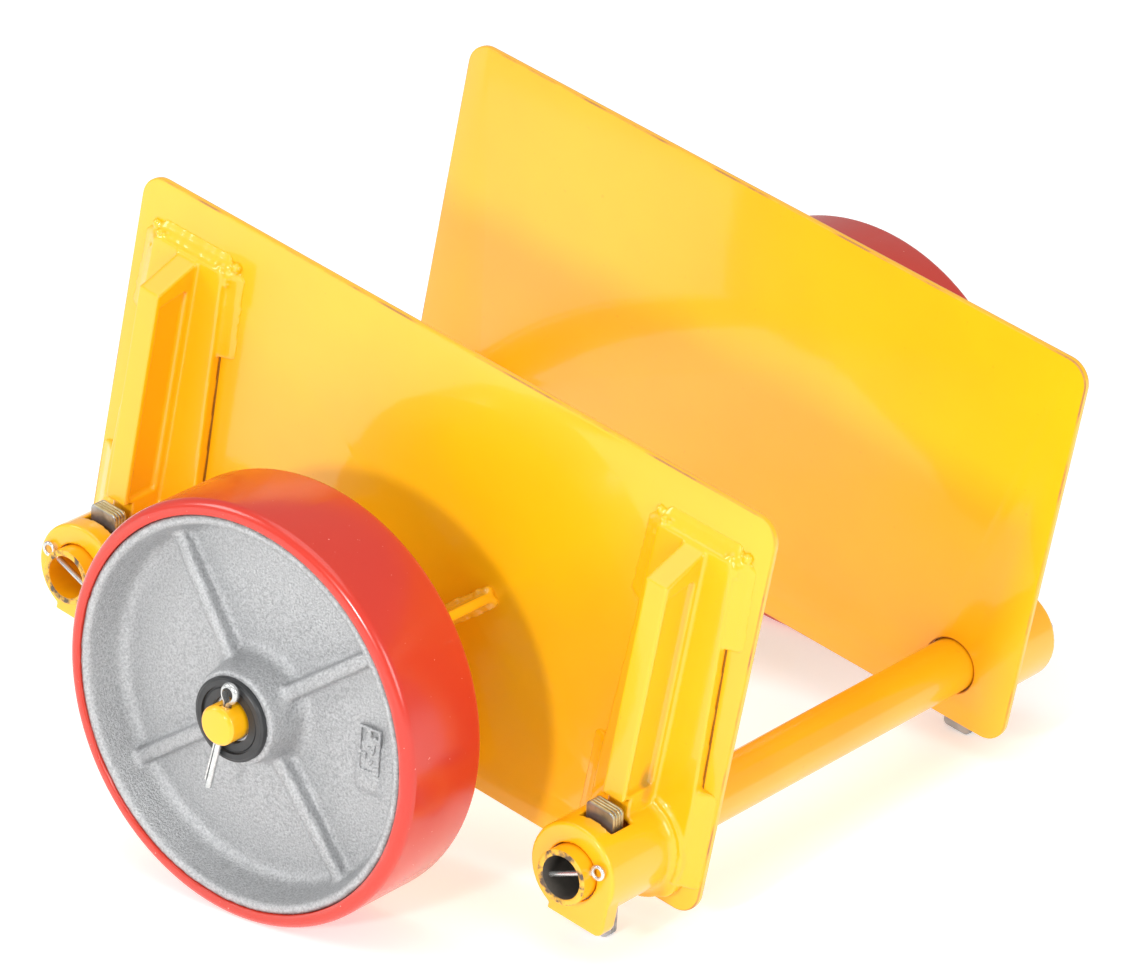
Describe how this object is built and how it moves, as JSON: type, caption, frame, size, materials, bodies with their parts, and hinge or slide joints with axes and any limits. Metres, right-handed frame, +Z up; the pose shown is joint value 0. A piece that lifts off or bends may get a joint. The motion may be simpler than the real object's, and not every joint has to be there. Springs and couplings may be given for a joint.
{
  "type": "panel dolly",
  "caption": "Adjustable two-wheeled panel dolly: two upright plates slide on two pipes, held by clutch clamp heads, with a red-tyred wheel outside each plate.",
  "frame": {"origin": "middle of the underside of the bounding box, on the floor", "axes": "+Z up, +Y across the dolly from the near plate to the far plate along the pipes, +X along the plates towards the low end"},
  "size_m": [0.4064, 0.4938, 0.2923],
  "materials": {
    "yellow_paint": "gloss",
    "pipe_paint": "gloss",
    "clutch_steel": "zinc plated, satin",
    "spring_steel": "satin",
    "zinc_pin": "zinc plated, bright",
    "red_polyurethane": "gloss",
    "cast_core": "sand cast, silver painted",
    "black_seal": "satin",
    "bearing_steel": "ground",
    "cage_plastic": "matte"
  },
  "bodies": {
    "near_side": {"near_plate": "yellow_paint", "near_left_clamp_head": "yellow_paint", "near_right_clamp_head": "yellow_paint", "near_left_clutch_spring": "spring_steel", "near_right_clutch_spring": "spring_steel", "near_axle": "yellow_paint", "near_axle_gussets": "yellow_paint", "near_thrust_collar": "yellow_paint", "near_bearing_sleeve": "bearing_steel", "near_axle_pin": "zinc_pin"},
    "far_side": {"far_plate": "yellow_paint", "far_left_clamp_head": "yellow_paint", "far_right_clamp_head": "yellow_paint", "far_left_clutch_spring": "spring_steel", "far_right_clutch_spring": "spring_steel", "far_axle": "yellow_paint", "far_axle_gussets": "yellow_paint", "far_thrust_collar": "yellow_paint", "far_bearing_sleeve": "bearing_steel", "far_axle_pin": "zinc_pin"},
    "left_pipe": {"left_pipe": "pipe_paint", "near_left_pipe_pin": "zinc_pin", "far_left_pipe_pin": "zinc_pin"},
    "right_pipe": {"right_pipe": "pipe_paint", "near_right_pipe_pin": "zinc_pin", "far_right_pipe_pin": "zinc_pin"},
    "near_wheel": {"near_wheel_core": "cast_core", "near_tread": "red_polyurethane", "near_outer_seal": "black_seal", "near_inner_seal": "black_seal"},
    "far_wheel": {"far_wheel_core": "cast_core", "far_tread": "red_polyurethane", "far_outer_seal": "black_seal", "far_inner_seal": "black_seal"},
    "near_roller_set": {"near_bearing_rollers": "bearing_steel", "near_roller_cage": "cage_plastic"},
    "far_roller_set": {"far_bearing_rollers": "bearing_steel", "far_roller_cage": "cage_plastic"},
    "near_left_clutch": {"near_left_clutch_plate_1": "clutch_steel", "near_left_clutch_plate_2": "clutch_steel", "near_left_clutch_plate_3": "clutch_steel", "near_left_clutch_plate_4": "clutch_steel"},
    "far_left_clutch": {"far_left_clutch_plate_1": "clutch_steel", "far_left_clutch_plate_2": "clutch_steel", "far_left_clutch_plate_3": "clutch_steel", "far_left_clutch_plate_4": "clutch_steel"},
    "near_right_clutch": {"near_right_clutch_plate_1": "clutch_steel", "near_right_clutch_plate_2": "clutch_steel", "near_right_clutch_plate_3": "clutch_steel", "near_right_clutch_plate_4": "clutch_steel"},
    "far_right_clutch": {"far_right_clutch_plate_1": "clutch_steel", "far_right_clutch_plate_2": "clutch_steel", "far_right_clutch_plate_3": "clutch_steel", "far_right_clutch_plate_4": "clutch_steel"}
  },
  "joints": [
    {"name": "left_pipe_slide", "type": "slide", "parent": "near_side", "child": "left_pipe", "axis": [0, -1, 0], "range_m": [0, 0.1]},
    {"name": "right_pipe_slide", "type": "slide", "parent": "near_side", "child": "right_pipe", "axis": [0, -1, 0], "range_m": [0, 0.1]},
    {"name": "far_side_slide", "type": "slide", "parent": "left_pipe", "child": "far_side", "axis": [0, -1, 0], "range_m": [0, 0.1]},
    {"name": "near_wheel_spin", "type": "hinge", "parent": "near_side", "child": "near_wheel", "pos_m": [-0.01112, -0.2075, 0.1016], "axis": [0, 1, 0], "continuous": true},
    {"name": "near_roller_set_spin", "type": "hinge", "parent": "near_side", "child": "near_roller_set", "pos_m": [-0.01112, -0.2075, 0.1016], "axis": [0, 1, 0], "continuous": true},
    {"name": "far_wheel_spin", "type": "hinge", "parent": "far_side", "child": "far_wheel", "pos_m": [-0.01112, 0.2075, 0.1016], "axis": [0, 1, 0], "continuous": true},
    {"name": "far_roller_set_spin", "type": "hinge", "parent": "far_side", "child": "far_roller_set", "pos_m": [-0.01112, 0.2075, 0.1016], "axis": [0, 1, 0], "continuous": true},
    {"name": "near_left_clutch_release", "type": "hinge", "parent": "near_side", "child": "near_left_clutch", "pos_m": [-0.16408, -0.1483, 0.10898], "axis": [-0.9769, 0, 0.2138], "range_deg": [0, 8.5], "stiffness_Nm_per_rad": 3, "springref_deg": -17.19, "deforming": ["near_left_clutch_spring"]},
    {"name": "near_right_clutch_release", "type": "hinge", "parent": "near_side", "child": "near_right_clutch", "pos_m": [0.13093, -0.1483, 0.0444], "axis": [-0.9769, 0, 0.2138], "range_deg": [0, 8.5], "stiffness_Nm_per_rad": 3, "springref_deg": -17.19, "deforming": ["near_right_clutch_spring"]},
    {"name": "far_left_clutch_release", "type": "hinge", "parent": "far_side", "child": "far_left_clutch", "pos_m": [-0.16408, 0.1483, 0.10898], "axis": [0.9769, 0, -0.2138], "range_deg": [0, 8.5], "stiffness_Nm_per_rad": 3, "springref_deg": -17.19, "deforming": ["far_left_clutch_spring"]},
    {"name": "far_right_clutch_release", "type": "hinge", "parent": "far_side", "child": "far_right_clutch", "pos_m": [0.13093, 0.1483, 0.0444], "axis": [0.9769, 0, -0.2138], "range_deg": [0, 8.5], "stiffness_Nm_per_rad": 3, "springref_deg": -17.19, "deforming": ["far_right_clutch_spring"]}
  ],
  "couplings": [
    {"joint": "right_pipe_slide", "follows": "left_pipe_slide", "ratio": 1},
    {"joint": "near_roller_set_spin", "follows": "near_wheel_spin", "ratio": 0.5757},
    {"joint": "far_roller_set_spin", "follows": "far_wheel_spin", "ratio": 0.5757}
  ]
}
